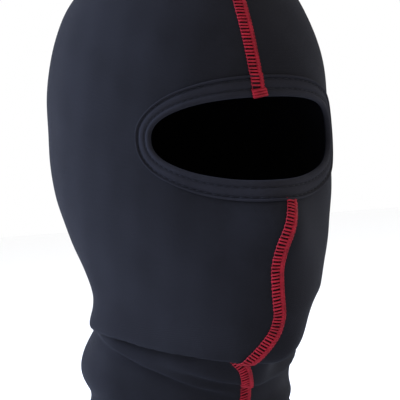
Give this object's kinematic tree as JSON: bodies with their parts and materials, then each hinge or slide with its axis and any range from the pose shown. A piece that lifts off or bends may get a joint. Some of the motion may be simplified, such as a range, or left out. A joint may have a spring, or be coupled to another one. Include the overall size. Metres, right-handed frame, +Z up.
{
  "type": "balaclava",
  "caption": "Close-fitting knit head and neck cover with one wide oval eye opening and contrast seams.",
  "frame": {"origin": "inside of the crown, where the top of the wearer's head bears on the cloth", "axes": "+Z up, out of the crown; the face looks along -Y; the wearer's right is -X"},
  "size_m": [0.1552, 0.2159, 0.3618],
  "materials": {
    "knit": "fine brushed jersey knit, dark navy",
    "band_knit": "same knit, folded as a binding",
    "elastic": "woven flat elastic",
    "seam_thread": "red polyester overlock thread",
    "dark_thread": "dark navy polyester thread",
    "label": "blank woven satin label"
  },
  "bodies": {
    "root": {"hood_panel_left": "knit", "hood_panel_right": "knit", "eye_band": "band_knit", "eye_elastic": "elastic", "eye_band_needle_thread_inner_row": "dark_thread", "eye_band_needle_thread_outer_row": "dark_thread", "eye_band_looper_thread": "dark_thread", "crown_seam_needle_thread": "seam_thread", "crown_seam_edge_thread": "seam_thread", "crown_seam_under_thread": "dark_thread", "chin_seam_needle_thread": "seam_thread", "chin_seam_edge_thread": "seam_thread", "chin_seam_under_thread": "dark_thread", "crown_seam_bartack": "seam_thread", "hem_front_bartack": "seam_thread", "hem_back_bartack": "seam_thread", "hem_needle_thread_upper_row": "dark_thread", "hem_needle_thread_lower_row": "dark_thread", "hem_looper_thread": "dark_thread", "care_label": "label", "care_label_thread": "dark_thread"}
  },
  "joints": []
}
